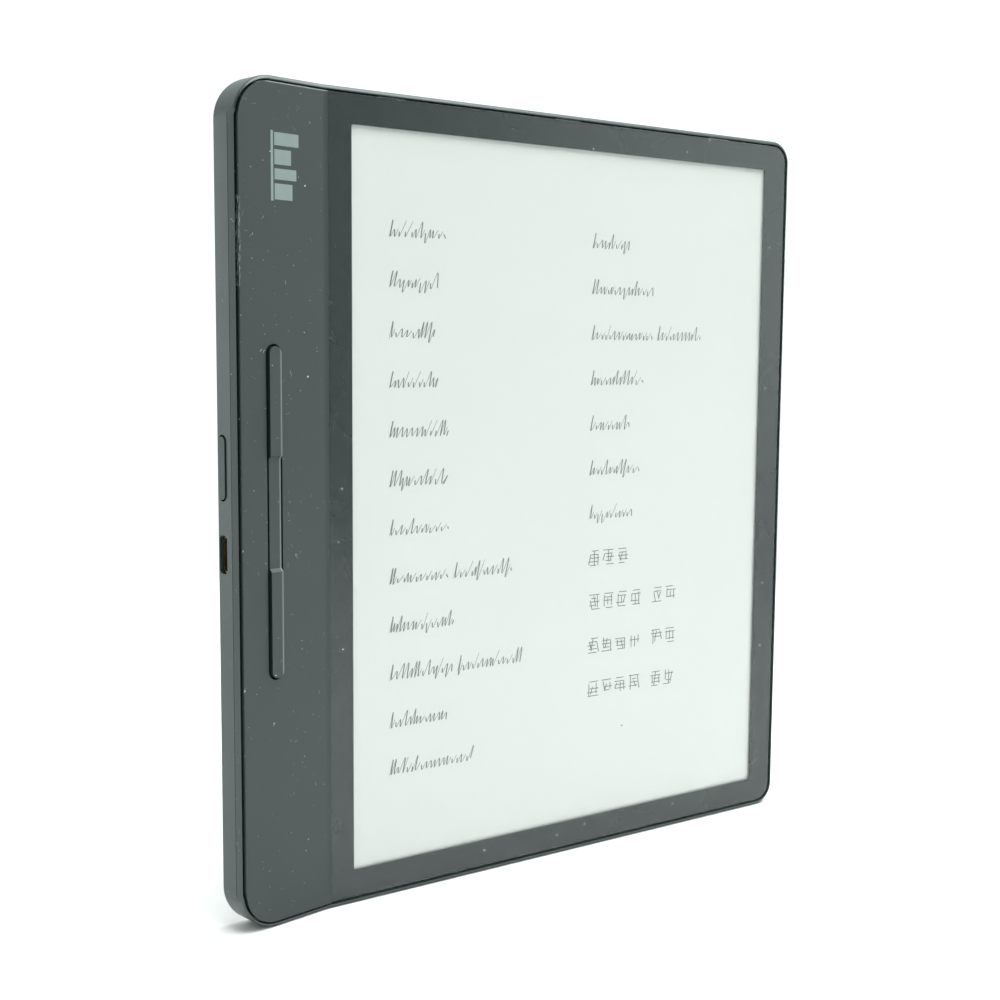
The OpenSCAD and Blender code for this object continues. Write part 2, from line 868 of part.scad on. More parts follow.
module usb_contacts()
    color([0.85, 0.65, 0.3])
        slab_frame()
            for (i = [-2:2])
                block(port_x + 1.1, port_x + 4.7, port_d + 0.05, port_d + 0.15,
                    port_z + i * 0.65 - 0.16, port_z + i * 0.65 + 0.16);

module usb_seal()
    color([0.2, 0.21, 0.22])
        difference() {
            slab_frame()
                block(-half_w + 1.75, -half_w + 2.35, port_d - 1.55, port_d + 1.4,
                    port_z - 4.05, port_z + 4.05);
            port_run(port_x - 1, port_x + 5, -0.02);
        }

// ---------- Battery ----------

module battery_cell()
    color([0.75, 0.76, 0.77])
        slab_frame()
            block(cell_x0 + 2.6, cell_x1, cell_d, cell_d + cell_t, cell_z0, cell_z1);

// Protection board along the cell's left edge
module battery_board()
    color([0.1, 0.3, 0.2])
        slab_frame()
            block(cell_x0 + 0.2, cell_x0 + 2.5, cell_d + 0.5, cell_d + 1.1, cell_z0 + 30, cell_z1 - 1);

module battery_tape()
    color([0.9, 0.9, 0.85])
        slab_frame()
            block(cell_x0 + 6, cell_x1 - 4, shelf_d, cell_d, cell_z0 + 6, cell_z1 - 6);

lead_r = 0.3;
lead_z = cell_z1 - 8;
lead_d = 2.7;
plug_x = board_right - 2.2;
module battery_leads()
    for (i = [-1:1])
        color(i > 0 ? [0.7, 0.1, 0.1] : i < 0 ? [0.1, 0.1, 0.1] : [0.9, 0.8, 0.2])
            slab_frame()
                rod_x(board_right + 0.35, cell_x0 + 0.2, lead_d, lead_z + i * 1.1, lead_r);

module battery_plug()
    color([0.9, 0.9, 0.86])
        slab_frame()
            block(board_right - 1.2, board_right + 0.35, plate_d + 0.1, board_d - 0.02,
                lead_z - 2, lead_z + 2);

module battery_socket()
    color([0.85, 0.83, 0.75])
        slab_frame()
            block(board_right - 3.2, board_right - 1.22, plate_d + 0.1, board_d,
                lead_z - 2.4, lead_z + 2.4);

// ---------- Radio and magnets ----------

module antenna()
    color([0.75, 0.5, 0.2])
        slab_frame()
            block(bend_x - 14, bend_x + 22, cover_in - 0.95, cover_in - 0.8,
                half_h - wall - ledge - 9, half_h - wall - ledge - 1);

module cover_magnets()
    color([0.7, 0.7, 0.7])
        slab_frame()
            for (z = [-70, -60, 60, 70])
                block(half_w - 14, half_w - 6, plate_d, plate_d + 1, z - 4, z + 4);

rear_cover();
mid_frame();
frame_tape();
grip_panel();
grip_tape();
page_bar();
page_bar_pin();
page_bar_bracket();
bracket_screws();
page_bar_seal();
page_switch_upper();
page_switch_lower();
page_switch_board();
switch_board_screws();
power_button();
power_button_seal();
power_switch();
front_sheet();
bezel_mask();
touch_sensor();
light_guide();
frontlight_leds();
frontlight_strip();
epaper_panel();
display_backing();
display_driver();
display_ribbon();
touch_ribbon();
frontlight_ribbon();
ribbon_connectors();
main_board();
board_screws();
processor();
memory_chip();
storage_chip();
power_chip();
wireless_chip();
shield_can();
small_components();
usb_shell();
usb_tongue();
usb_contacts();
usb_seal();
battery_cell();
battery_board();
battery_tape();
battery_leads();
battery_plug();
battery_socket();
antenna();
sleep_sensor();
cover_magnets();
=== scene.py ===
"""Finishes, page marks and a plain studio for a slim e-reader with a side grip."""

import json
import math
import random

import bmesh
import bpy
from bpy.props import FloatProperty, FloatVectorProperty, IntProperty, PointerProperty
from mathutils import Matrix, Quaternion, Vector


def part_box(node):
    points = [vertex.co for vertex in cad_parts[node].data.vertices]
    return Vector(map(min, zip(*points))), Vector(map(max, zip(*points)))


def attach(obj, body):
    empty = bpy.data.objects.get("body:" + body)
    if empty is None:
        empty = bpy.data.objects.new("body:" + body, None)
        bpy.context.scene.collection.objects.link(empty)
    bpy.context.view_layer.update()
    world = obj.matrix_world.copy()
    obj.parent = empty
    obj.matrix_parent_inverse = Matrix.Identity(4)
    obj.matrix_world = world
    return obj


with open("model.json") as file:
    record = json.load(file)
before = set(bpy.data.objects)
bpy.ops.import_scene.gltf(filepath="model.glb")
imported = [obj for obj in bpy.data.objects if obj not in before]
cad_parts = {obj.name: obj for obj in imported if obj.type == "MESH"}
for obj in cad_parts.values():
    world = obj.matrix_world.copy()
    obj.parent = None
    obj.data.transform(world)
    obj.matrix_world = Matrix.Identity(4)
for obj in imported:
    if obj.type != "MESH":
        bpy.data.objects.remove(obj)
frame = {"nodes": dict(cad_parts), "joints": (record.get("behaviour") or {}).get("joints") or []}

bl_info = {
    "name": "E-reader Maker",
    "version": (1, 0, 0),
    "blender": (4, 5, 0),
    "location": "3D View > Sidebar > E-reader",
    "description": "Finishes an e-reader's parts, draws its page and sets up a plain studio",
    "category": "Object",
}

MM = 0.001
NODES = frame["nodes"]

bpy.context.view_layer.update()

# The page bar's hinge gives the grip's frame: its pin runs across the grip, under the panel
PIN = next(j for j in frame["joints"] if j["name"] == "page_bar_rock")
PIN_DEPTH = 2.75 * MM
ACROSS_GRIP = -Vector(PIN["axis"])
INTO_GRIP = Vector((-ACROSS_GRIP.y, ACROSS_GRIP.x, 0))
BAR_CENTRE = Vector(PIN["pos_m"]) - PIN_DEPTH * INTO_GRIP

# The page fills the printed border's window, and lies on the front of the e-paper
PAGE_HEIGHT = 162.56 * MM
PAGE_CENTRE = Vector((10.5 * MM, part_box("epaper_panel")[0].y, 88.85 * MM))


def linear(code):
    """Turns a hex sRGB colour into linear red, green and blue."""
    parts = [int(code[i:i + 2], 16) / 255 for i in (1, 3, 5)]
    return tuple(c / 12.92 if c <= 0.04045 else ((c + 0.055) / 1.055) ** 2.4 for c in parts)


def add(tree, kind, inputs=None, **settings):
    """Adds a node, sets its properties, and sets or links its inputs."""
    made = tree.nodes.new(kind)
    for key, value in settings.items():
        setattr(made, key, value)
    for key, value in (inputs or {}).items():
        if isinstance(value, bpy.types.NodeSocket):
            tree.links.new(value, made.inputs[key])
        else:
            made.inputs[key].default_value = value
    return made


# ---------- Settings ----------

class READER_PG_finish(bpy.types.PropertyGroup):
    """Colours of the parts that show"""

    housing: FloatVectorProperty(
        name="Housing", description="Colour of the rear cover's plastic",
        subtype="COLOR", size=3, min=0, max=1, default=linear("#293736"))
    grip: FloatVectorProperty(
        name="Grip", description="Colour of the grip panel's plastic",
        subtype="COLOR", size=3, min=0, max=1, default=linear("#222d2c"))
    keys: FloatVectorProperty(
        name="Keys", description="Colour of the page bar and the power button",
        subtype="COLOR", size=3, min=0, max=1, default=linear("#222d2c"))
    border: FloatVectorProperty(
        name="Border", description="Colour of the ink around the display",
        subtype="COLOR", size=3, min=0, max=1, default=linear("#1a2423"))
    paper: FloatVectorProperty(
        name="Paper", description="Colour of the blank display",
        subtype="COLOR", size=3, min=0, max=1, default=linear("#dbdcd9"))
    print_grey: FloatVectorProperty(
        name="Grip mark", description="Colour of the mark printed on the grip",
        subtype="COLOR", size=3, min=0, max=1, default=linear("#7a8784"))
    dust: FloatProperty(
        name="Dust", description="Share of the dust cells that hold a speck",
        subtype="FACTOR", min=0, max=1, default=0.4)


class READER_PG_page(bpy.types.PropertyGroup):
    """Layout of the lines on the page"""

    rows: IntProperty(
        name="Rows", description="Rows in the first column; the second has one fewer",
        min=1, max=13, default=12)
    row_pitch: FloatProperty(
        name="Row pitch", description="From one row to the next",
        unit="LENGTH", min=0.006, max=0.02, default=10.91 * MM)
    low_height: FloatProperty(
        name="Low strokes", description="Height of the low strokes of a line",
        unit="LENGTH", min=0.001, max=0.004, default=2.3 * MM)
    stroke: FloatProperty(
        name="Stroke", description="Width of a heavy stroke",
        unit="LENGTH", min=0.0001, max=0.001, default=0.3 * MM)
    ink: FloatVectorProperty(
        name="Ink", description="Colour of the strokes",
        subtype="COLOR", size=3, min=0, max=1, default=linear("#747d7b"))


class READER_PG_stage(bpy.types.PropertyGroup):
    """Camera, lamps and floor"""

    lens: FloatProperty(
        name="Lens", description="Focal length on a 36 mm sensor",
        unit="CAMERA", min=20, max=200, default=50.55)
    camera_place: FloatVectorProperty(
        name="Camera", description="Where the camera stands",
        subtype="TRANSLATION", size=3, default=(-0.19672, -0.26711, 0.1226))
    camera_aim: FloatVectorProperty(
        name="Aim", description="Point that the camera looks at",
        subtype="TRANSLATION", size=3, default=(0.00165, 0.0189, 0.0859))
    camera_roll: FloatProperty(
        name="Roll", description="Turn of the camera about its own line of sight",
        unit="ROTATION", min=-0.5, max=0.5, default=0.0076)
    sky: FloatProperty(
        name="Surround", description="Strength of the white surround",
        min=0, max=5, default=1.15)
    room: FloatProperty(
        name="Room", description="Strength of the surround behind the camera",
        min=0, max=5, default=0.22)
    light_tint: FloatVectorProperty(
        name="Light colour", description="Colour of the surround and the lamps",
        subtype="COLOR", size=3, min=0, max=1, default=(0.92, 1.0, 0.985))
    key: FloatProperty(
        name="Key lamp", description="Power of the soft lamp overhead",
        min=0, max=200, default=11)
    side: FloatProperty(
        name="Right lamp", description="Power of the soft box in front on the right",
        min=0, max=200, default=2.6)
    back: FloatProperty(
        name="Back lamp", description="Power of the soft box behind on the left",
        min=0, max=200, default=2.4)
    rim: FloatProperty(
        name="Edge lamp", description="Power of the small lamp on the right that lights raised edges",
        min=0, max=200, default=4)
    floor: FloatVectorProperty(
        name="Floor", description="Colour of the floor",
        subtype="COLOR", size=3, min=0, max=1, default=linear("#fbf7f7"))


# ---------- Shared finishes ----------

def finish(name, colour, roughness, metallic=0.0, ior=None, drift=0.04, drift_mm=14.0,
           gloss_drift=0.04, grain_mm=0.6, grain_depth=0.004, stretch=(1, 1, 1)):
    """A surface whose colour and gloss drift slowly and that has a fine grain.

    Lengths are in millimetres. Returns the material, its tree, its shader and the
    sockets for the place in millimetres and the colour.
    """
    material = bpy.data.materials.new(name)
    material.use_nodes = True
    tree = material.node_tree
    tree.nodes.clear()
    place = add(tree, "ShaderNodeTexCoord").outputs["Object"]
    mm = add(tree, "ShaderNodeMapping", {
        "Vector": place, "Scale": tuple(s / MM for s in stretch)}).outputs["Vector"]
    slow = add(tree, "ShaderNodeTexNoise", {
        "Vector": mm, "Scale": 1 / drift_mm, "Detail": 3.0})
    tint = add(tree, "ShaderNodeMix", {
        "Factor": slow.outputs["Fac"],
        "A": (*[c * (1 - drift) for c in colour], 1),
        "B": (*[min(1, c * (1 + drift)) for c in colour], 1)}, data_type="RGBA")
    gloss = add(tree, "ShaderNodeMapRange", {
        "Value": slow.outputs["Fac"], "From Min": 0.3, "From Max": 0.7,
        "To Min": roughness - gloss_drift, "To Max": roughness + gloss_drift})
    grain = add(tree, "ShaderNodeTexNoise", {
        "Vector": mm, "Scale": 1 / grain_mm, "Detail": 2.0})
    bump = add(tree, "ShaderNodeBump", {
        "Height": grain.outputs["Fac"], "Strength": 1.0, "Distance": grain_depth * MM})
    shader = add(tree, "ShaderNodeBsdfPrincipled", {
        "Base Color": tint.outputs["Result"], "Roughness": gloss.outputs["Result"],
        "Metallic": metallic, "Normal": bump.outputs["Normal"]})
    if ior:
        shader.inputs["IOR"].default_value = ior
    add(tree, "ShaderNodeOutputMaterial", {"Surface": shader.outputs["BSDF"]})
    return material, tree, shader, mm, tint.outputs["Result"]


def specks(tree, mm, share, cell_mm, speck_mm):
    """Small round specks, at most one to a cell, as a mask."""
    # A flat pattern seen at a slant, so that it does not smear into lines on any side of the body
    across = add(tree, "ShaderNodeVectorMath", {0: mm, 1: (1, -0.6, 0)},
                 operation="DOT_PRODUCT").outputs["Value"]
    up = add(tree, "ShaderNodeVectorMath", {0: mm, 1: (0, 0.5, 1)},
             operation="DOT_PRODUCT").outputs["Value"]
    flat = add(tree, "ShaderNodeCombineXYZ", {"X": across, "Y": up}).outputs["Vector"]
    cells = add(tree, "ShaderNodeTexVoronoi", {"Vector": flat, "Scale": 1 / cell_mm},
                voronoi_dimensions="2D")
    chance = add(tree, "ShaderNodeSeparateColor", {"Color": cells.outputs["Color"]})
    # Each cell's own size: none for most cells, and up to speck_mm for the rest
    size = add(tree, "ShaderNodeMapRange", {
        "Value": chance.outputs["Red"], "From Min": 1 - share, "From Max": 1.0,
        "To Min": 0.0, "To Max": speck_mm / cell_mm})
    return add(tree, "ShaderNodeMath", {
        0: cells.outputs["Distance"], 1: size.outputs["Result"]},
        operation="LESS_THAN").outputs["Value"]


def fibres(tree, mm, bend_mm, width, patch_mm, share):
    """Short hairs, which lie where a slow noise crosses its middle, as a mask."""
    curl = add(tree, "ShaderNodeTexNoise", {"Vector": mm, "Scale": 1 / bend_mm, "Detail": 0.0})
    line = add(tree, "ShaderNodeMath", {
        0: curl.outputs["Fac"], 1: 0.5, 2: width}, operation="COMPARE")
    where = add(tree, "ShaderNodeTexNoise", {"Vector": mm, "Scale": 1 / patch_mm, "Detail": 0.0})
    few = add(tree, "ShaderNodeMath", {
        0: where.outputs["Fac"], 1: share}, operation="GREATER_THAN")
    return add(tree, "ShaderNodeMath", {
        0: line.outputs["Value"], 1: few.outputs["Value"]}, operation="MULTIPLY").outputs["Value"]


def both(tree, first, second):
    """The stronger of two masks."""
    return add(tree, "ShaderNodeMath", {0: first, 1: second}, operation="MAXIMUM").outputs["Value"]


def lay(tree, shader, colour, mask, strength, pale):
    """Lays a pale colour where a mask is set, and returns the new colour."""
    veil = add(tree, "ShaderNodeMath", {0: mask, 1: strength}, operation="MULTIPLY")
    laid = add(tree, "ShaderNodeMix", {
        "Factor": veil.outputs["Value"], "A": colour, "B": (*linear(pale), 1)},
        data_type="RGBA").outputs["Result"]
    tree.links.new(laid, shader.inputs["Base Color"])
    return laid


def dust(tree, shader, mm, colour, share):
    """Lays dust on a colour: a few lint specks, many fine ones, and short hairs."""
    wobble = add(tree, "ShaderNodeTexNoise", {"Vector": mm, "Scale": 2.4, "Detail": 1.0})
    ragged = add(tree, "ShaderNodeVectorMath", {
        0: wobble.outputs["Color"], 1: (0.35, 0.35, 0.35), 2: mm},
        operation="MULTIPLY_ADD").outputs["Vector"]
    lint = specks(tree, ragged, share, 7.5, 0.24)
    fine = specks(tree, ragged, share, 2.6, 0.11)
    hairs = fibres(tree, mm, 2.2, 0.0022, 1.5, 0.735)
    colour = lay(tree, shader, colour, fine, 0.55, "#a5aeab")
    return lay(tree, shader, colour, both(tree, lint, hairs), 0.7, "#c2c9c6")


def clear(name, alpha, roughness, ior, grain_mm, grain_depth):
    """A clear sheet: mostly see-through, with a satin front."""
    material = bpy.data.materials.new(name)
    material.use_nodes = True
    tree = material.node_tree
    tree.nodes.clear()
    mm = add(tree, "ShaderNodeMapping", {
        "Vector": add(tree, "ShaderNodeTexCoord").outputs["Object"],
        "Scale": (1 / MM,) * 3}).outputs["Vector"]
    grain = add(tree, "ShaderNodeTexNoise", {"Vector": mm, "Scale": 1 / grain_mm})
    bump = add(tree, "ShaderNodeBump", {
        "Height": grain.outputs["Fac"], "Strength": 1.0, "Distance": grain_depth * MM})
    shader = add(tree, "ShaderNodeBsdfPrincipled", {
        "Base Color": (0.16, 0.18, 0.175, 1), "Roughness": roughness, "IOR": ior,
        "Alpha": alpha, "Normal": bump.outputs["Normal"]})
    add(tree, "ShaderNodeOutputMaterial", {"Surface": shader.outputs["BSDF"]})
    return material


def coat(material, *names):
    """Gives parts a material."""
    for name in names:
        NODES[name].data.materials.clear()
        NODES[name].data.materials.append(material)


def smooth_group():
    """A modifier group that joins loose triangles and smooths all but sharp edges."""
    name = "Join and smooth"
    if name in bpy.data.node_groups:
        return bpy.data.node_groups[name]
    tree = bpy.data.node_groups.new(name, "GeometryNodeTree")
    tree.interface.new_socket("Geometry", in_out="INPUT", socket_type="NodeSocketGeometry")
    tree.interface.new_socket("Geometry", in_out="OUTPUT", socket_type="NodeSocketGeometry")
    start = add(tree, "NodeGroupInput")
    joined = add(tree, "GeometryNodeMergeByDistance", {
        "Geometry": start.outputs["Geometry"], "Distance": 0.0005 * MM})
    angle = add(tree, "GeometryNodeInputMeshEdgeAngle")
    soft = add(tree, "FunctionNodeCompare", {
        "A": angle.outputs["Unsigned Angle"], "B": math.radians(32)}, operation="LESS_THAN")
    faces = add(tree, "GeometryNodeSetShadeSmooth", {
        "Geometry": joined.outputs["Geometry"]}, domain="FACE")
    edges = add(tree, "GeometryNodeSetShadeSmooth", {
        "Geometry": faces.outputs["Geometry"], "Shade Smooth": soft.outputs["Result"]},
        domain="EDGE")
    add(tree, "NodeGroupOutput", {"Geometry": edges.outputs["Geometry"]})
    return tree


def soften(piece, edge_mm=0.0):
    """Joins and smooths a part's faces, and rounds its sharp edges where a width is given."""
    joined = piece.modifiers.new("Join and smooth", "NODES")
    joined.node_group = smooth_group()
    if edge_mm:
        rounded = piece.modifiers.new("Moulded edges", "BEVEL")
        rounded.width = edge_mm * MM
        rounded.segments = 3
        rounded.limit_method = "ANGLE"
        rounded.angle_limit = math.radians(40)
    shaded = piece.modifiers.new("Even shading", "WEIGHTED_NORMAL")
    shaded.mode = "FACE_AREA_WITH_ANGLE"
    shaded.keep_sharp = True


# ---------- Parts ----------

class READER_OT_housing(bpy.types.Operator):
    """Finish the rear cover, the grip panel, the page bar and the power button"""

    bl_idname = "reader.housing"
    bl_label = "Housing and keys"

    def execute(self, context):
        look = context.scene.reader_finish
        # Satin moulded ABS: a spark-eroded mould leaves a fine even grain and a soft sheen.
        # The real grain is about 0.1 mm across, and is drawn at 0.45 mm so that it shows.
        cover, tree, shader, mm, colour = finish(
            "Satin moulded ABS, cover", look.housing, 0.36, ior=1.54,
            drift=0.05, grain_mm=0.45, grain_depth=0.008)
        dust(tree, shader, mm, colour, look.dust * 0.5)
        coat(cover, "rear_cover")
        grip, tree, shader, mm, colour = finish(
            "Satin moulded ABS, grip", look.grip, 0.46, ior=1.54,
            drift=0.05, grain_mm=0.45, grain_depth=0.008)
        # Painted highlight on the grip panel's edge beside the display and its top edge, and pale
        # wear on its outer edge
        colour = self.edge_highlight_and_wear(tree, shader, mm, colour)
        dust(tree, shader, mm, colour, look.dust)
        coat(grip, "grip_panel")
        # The keys come from a finer mould and are rubbed a little smoother by use
        keys, tree, shader, mm, colour = finish(
            "Fine moulded ABS, keys", look.keys, 0.44, ior=1.54,
            drift=0.05, drift_mm=8, grain_mm=0.4, grain_depth=0.004)
        # Painted highlight along the page bar's edge beside the display
        colour = self.painted_edge_highlight(tree, shader, mm, colour)
        dust(tree, shader, mm, colour, look.dust * 0.6)
        coat(keys, "page_bar", "power_button")
        soften(NODES["rear_cover"], 0.25)
        soften(NODES["grip_panel"], 0.16)
        soften(NODES["page_bar"], 0.32)
        soften(NODES["power_button"], 0.2)
        return {"FINISHED"}

    def painted_edge_highlight(self, tree, shader, mm, colour):
        """Painted highlight: the page bar's edge beside the display is made paler, where its bevel
        catches the light.
        """
        reach = max(v.co.dot(ACROSS_GRIP) / MM for v in NODES["page_bar"].data.vertices
                    if v.co.dot(INTO_GRIP) < BAR_CENTRE.dot(INTO_GRIP))
        across = add(tree, "ShaderNodeVectorMath", {0: mm, 1: tuple(ACROSS_GRIP)},
                     operation="DOT_PRODUCT").outputs["Value"]
        lit_edge = add(tree, "ShaderNodeMapRange", {
            "Value": across, "From Min": reach - 0.5, "From Max": reach - 0.1,
            "To Min": 0.0, "To Max": 1.0}, interpolation_type="SMOOTHSTEP").outputs["Result"]
        return lay(tree, shader, colour, lit_edge, 0.3, "#aab4b1")

    def edge_highlight_and_wear(self, tree, shader, mm, colour):
        """Painted highlight along the grip panel's edge beside the display and along its top edge,
        and pale wear where a palm rubs its outer edge.
        """
        reach = [v.co.dot(ACROSS_GRIP) / MM for v in NODES["grip_panel"].data.vertices]
        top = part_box("grip_panel")[1].z / MM
        across = add(tree, "ShaderNodeVectorMath", {0: mm, 1: tuple(ACROSS_GRIP)},
                     operation="DOT_PRODUCT").outputs["Value"]
        up = add(tree, "ShaderNodeSeparateXYZ", {"Vector": mm}).outputs["Z"]
        # Painted highlight: the edge beside the display and the top edge are made paler, where their
        # bevels catch the light
        lit_seam_edge = add(tree, "ShaderNodeMath", {0: across, 1: max(reach) - 0.17},
                   operation="GREATER_THAN").outputs["Value"]
        lit_top_edge = add(tree, "ShaderNodeMath", {0: up, 1: top - 0.2},
                  operation="GREATER_THAN").outputs["Value"]
        colour = lay(tree, shader, colour, both(tree, lit_seam_edge, lit_top_edge), 0.7, "#9aa5a3")
        # Scuffs break up along the edge: a noise stretched along it decides where
        broken = add(tree, "ShaderNodeTexNoise", {
            "Vector": add(tree, "ShaderNodeMapping", {
                "Vector": mm, "Scale": (5.0, 5.0, 0.8)}).outputs["Vector"],
            "Scale": 1.0, "Detail": 3.0})
        torn = add(tree, "ShaderNodeMath", {0: broken.outputs["Fac"], 1: 0.54},
                   operation="GREATER_THAN").outputs["Value"]
        rim = add(tree, "ShaderNodeMath", {0: across, 1: min(reach) + 0.12},
                  operation="LESS_THAN").outputs["Value"]
        high = add(tree, "ShaderNodeMath", {0: up, 1: top - 32, 2: 9}, operation="COMPARE")
        rubbed = add(tree, "ShaderNodeMath", {0: rim, 1: torn}, operation="MULTIPLY")
        there = add(tree, "ShaderNodeMath", {
            0: rubbed.outputs["Value"], 1: high.outputs["Value"]}, operation="MULTIPLY")
        return lay(tree, shader, colour, there.outputs["Value"], 0.55, "#b9c0bd")


class READER_OT_display(bpy.types.Operator):
    """Finish the front sheet, the printed border and the display behind them"""

    bl_idname = "reader.display"
    bl_label = "Display"

    def execute(self, context):
        look = context.scene.reader_finish
        # Hard-coated clear sheet with an anti-glare front: a thin satin veil
        coat(clear("Anti-glare acrylic sheet", 0.05, 0.3, 1.49, 0.4, 0.002), "front_sheet")
        coat(clear("Clear polyester touch film", 0.02, 0.2, 1.57, 6.0, 0.001), "touch_sensor")
        coat(clear("Moulded acrylic light guide", 0.03, 0.15, 1.49, 0.5, 0.001), "light_guide")
        # Ink printed on the back of the sheet: even and smooth, with dust over it
        ink, tree, shader, mm, colour = finish(
            "Screen-printed border ink", look.border, 0.27, ior=1.6,
            drift=0.01, drift_mm=30, gloss_drift=0.01, grain_mm=0.5, grain_depth=0.002)
        dust(tree, shader, mm, colour, look.dust)
        coat(ink, "bezel_mask")
        # E-paper: matte, with microcapsules of 0.04 mm that are drawn at 0.35 mm
        paper, tree, shader, mm, colour = finish(
            "E-paper film", look.paper, 0.6, ior=1.5,
            drift=0.012, drift_mm=40, grain_mm=0.35, grain_depth=0.001)
        # Painted shade: the rows beside the border's top edge are made a little darker
        up = add(tree, "ShaderNodeSeparateXYZ", {"Vector": mm}).outputs["Z"]
        top = (PAGE_CENTRE.z + PAGE_HEIGHT / 2) / MM
        shade = add(tree, "ShaderNodeMapRange", {
            "Value": up, "From Min": top - 3.2, "From Max": top + 0.4,
            "To Min": 0.0, "To Max": 0.05}, interpolation_type="SMOOTHSTEP")
        painted_top_shade = add(tree, "ShaderNodeMix", {
            "Factor": shade.outputs["Result"], "A": colour, "B": (0.2, 0.22, 0.22, 1)},
            data_type="RGBA")
        tree.links.new(painted_top_shade.outputs["Result"], shader.inputs["Base Color"])
        coat(paper, "epaper_panel")
        for name in ("front_sheet", "bezel_mask", "epaper_panel"):
            soften(NODES[name])
        # Clear adhesive bonds these two to their neighbours, so their faces don't show
        for name in ("touch_sensor", "light_guide"):
            for ray in ("camera", "diffuse", "glossy", "transmission", "shadow"):
                setattr(NODES[name], "visible_" + ray, False)
        return {"FINISHED"}


class READER_OT_insides(bpy.types.Operator):
    """Finish the boards, frames, battery, cables and port"""

    bl_idname = "reader.insides"
    bl_label = "Inside parts"

    def execute(self, context):
        # Die-cast magnesium, tumbled: a pale grey metal with a soft mottle
        coat(finish("Die-cast magnesium", linear("#b4b6b8"), 0.45, 1.0,
                    grain_mm=0.5, grain_depth=0.006)[0], "mid_frame")
        # Stamped stainless steel keeps the drawn lines of the sheet
        coat(finish("Stamped stainless steel", linear("#c3c4c4"), 0.3, 1.0, drift=0.06,
                    grain_mm=2.0, grain_depth=0.002, stretch=(8, 8, 0.5))[0],
             "display_backing", "shield_can", "page_bar_bracket")
        # The port's shell is deep-drawn and nickel plated
        coat(finish("Nickel-plated drawn steel", linear("#b09a68"), 0.3, 1.0, drift=0.05,
                    grain_mm=0.8, grain_depth=0.001)[0], "usb_shell", "cover_magnets")
        # Turned steel with clear zinc plating
        coat(finish("Zinc-plated turned steel", linear("#bcbfc4"), 0.28, 1.0, drift=0.05,
                    grain_mm=0.3, grain_depth=0.002)[0],
             "page_bar_pin", "bracket_screws", "switch_board_screws", "board_screws")
        # Silicone rubber: matte and slightly soft at its edges
        coat(finish("Moulded silicone rubber", linear("#2a2d2e"), 0.7, ior=1.41,
                    grain_mm=0.4, grain_depth=0.004)[0],
             "page_bar_seal", "power_button_seal", "usb_seal")
        # Closed-cell foam carrier with adhesive on both faces
        coat(finish("Closed-cell foam tape", linear("#1c1d1e"), 0.85, ior=1.5,
                    grain_mm=0.3, grain_depth=0.02)[0], "frame_tape", "grip_tape")
        coat(finish("Stretch-release adhesive film", linear("#d9d8ce"), 0.4, ior=1.47,
                    grain_mm=1.5, grain_depth=0.004)[0], "battery_tape")
        # Glass-filled nylon bodies of the small switches
        coat(finish("Glass-filled nylon", linear("#c8c8c0"), 0.5, ior=1.53,
                    grain_mm=0.3, grain_depth=0.004)[0],
             "page_switch_upper", "page_switch_lower", "power_switch")
        # Liquid-crystal polymer of the fine connectors
        coat(finish("Liquid-crystal polymer", linear("#d2ccb4"), 0.45, ior=1.6,
                    grain_mm=0.4, grain_depth=0.003)[0],
             "ribbon_connectors", "battery_socket", "battery_plug")
        coat(finish("Black liquid-crystal polymer", linear("#17181a"), 0.4, ior=1.6,
                    grain_mm=0.4, grain_depth=0.002)[0], "usb_tongue")
        # Polyimide film over copper: amber, with the copper's long lines under it
        coat(finish("Polyimide flexible circuit", linear("#b3782c"), 0.35, ior=1.7,
                    drift=0.16, drift_mm=1.2, grain_mm=0.6, grain_depth=0.003,
                    stretch=(0.2, 1, 3))[0],
             "frontlight_strip", "display_ribbon", "touch_ribbon", "frontlight_ribbon", "antenna")
        # Transfer-moulded epoxy packages, laser-dulled on top
        coat(finish("Moulded chip epoxy", linear("#1b1c1f"), 0.5, ior=1.55,
                    grain_mm=0.25, grain_depth=0.004)[0],
             "display_driver", "processor", "memory_chip", "storage_chip", "power_chip",
             "wireless_chip", "sleep_sensor")
        coat(finish("Fired ceramic chip parts", linear("#9a7b58"), 0.55, ior=1.76,
                    drift=0.25, drift_mm=1.4)[0], "small_components")
        coat(finish("White diode package", linear("#e9e2b8"), 0.35, ior=1.5,
                    drift=0.08, drift_mm=2)[0], "frontlight_leds")
        coat(finish("Gold-plated contacts", linear("#e3b765"), 0.2, 1.0, drift=0.04,
                    grain_mm=0.5, grain_depth=0.001)[0], "usb_contacts")
        # Aluminium laminate of a pouch cell: shallow dents over a satin metal
        coat(finish("Pouch cell laminate", linear("#cfd0d2"), 0.33, 1.0, drift=0.05,
                    grain_mm=7, grain_depth=0.06)[0], "battery_cell")
        self.solder_mask()
        self.leads()
        for name, piece in NODES.items():
            if not piece.modifiers:
                soften(piece)
        return {"FINISHED"}

    def solder_mask(self):
        """Green solder mask over copper: traces show as paler lines on a 0.6 mm grid."""
        board, tree, shader, mm, colour = finish(
            "Solder mask on glass epoxy", linear("#1d5f3e"), 0.35, ior=1.52, drift=0.08)
        bricks = add(tree, "ShaderNodeTexBrick", {
            "Vector": mm, "Scale": 0.5, "Mortar Size": 0.06, "Brick Width": 3.0,
            "Row Height": 0.6, "Color1": (0, 0, 0, 1), "Color2": (0.3, 0.3, 0.3, 1),
            "Mortar": (1, 1, 1, 1)})
        traces = add(tree, "ShaderNodeMix", {
            "Factor": bricks.outputs["Color"], "A": colour, "B": (*linear("#3c8a5c"), 1)},
            data_type="RGBA")
        tree.links.new(traces.outputs["Result"], shader.inputs["Base Color"])
        coat(board, "main_board", "page_switch_board", "battery_board")

